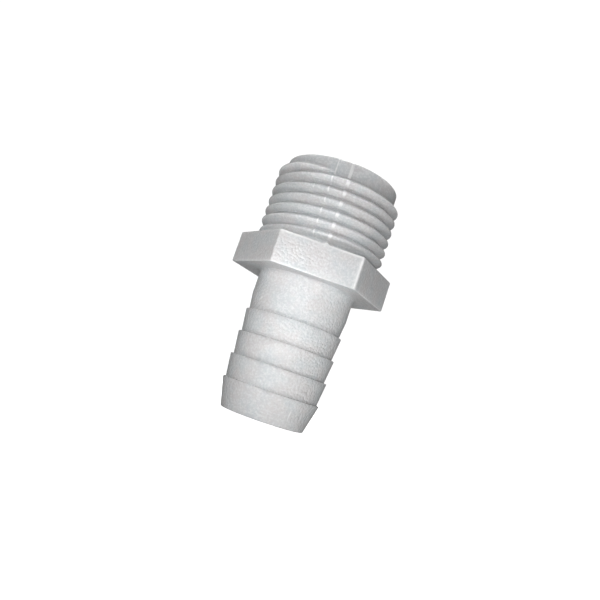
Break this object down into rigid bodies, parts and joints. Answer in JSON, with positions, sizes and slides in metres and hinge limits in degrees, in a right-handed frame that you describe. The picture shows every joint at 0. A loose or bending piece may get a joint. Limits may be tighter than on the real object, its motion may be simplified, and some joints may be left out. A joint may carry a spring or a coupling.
{
  "type": "thru hull hose fitting",
  "caption": "Straight moulded nylon adapter: male hose thread with a pilot lip, hex wrench collar and barbed hose tail round a through bore.",
  "frame": {"origin": "centre of the bore at the hose tail's end face, which is the lowest point of the part", "axes": "+Z along the bore from the hose tail towards the threaded end; one flat of the hex collar faces -Y; the collar's corners lie on X"},
  "size_m": [0.0328, 0.0286, 0.0527],
  "materials": {
    "natural_nylon": "natural milky-white nylon, satin sheen over a fine moulded grain, slightly translucent"
  },
  "bodies": {
    "root": {"fitting_body": "natural_nylon"}
  },
  "joints": []
}
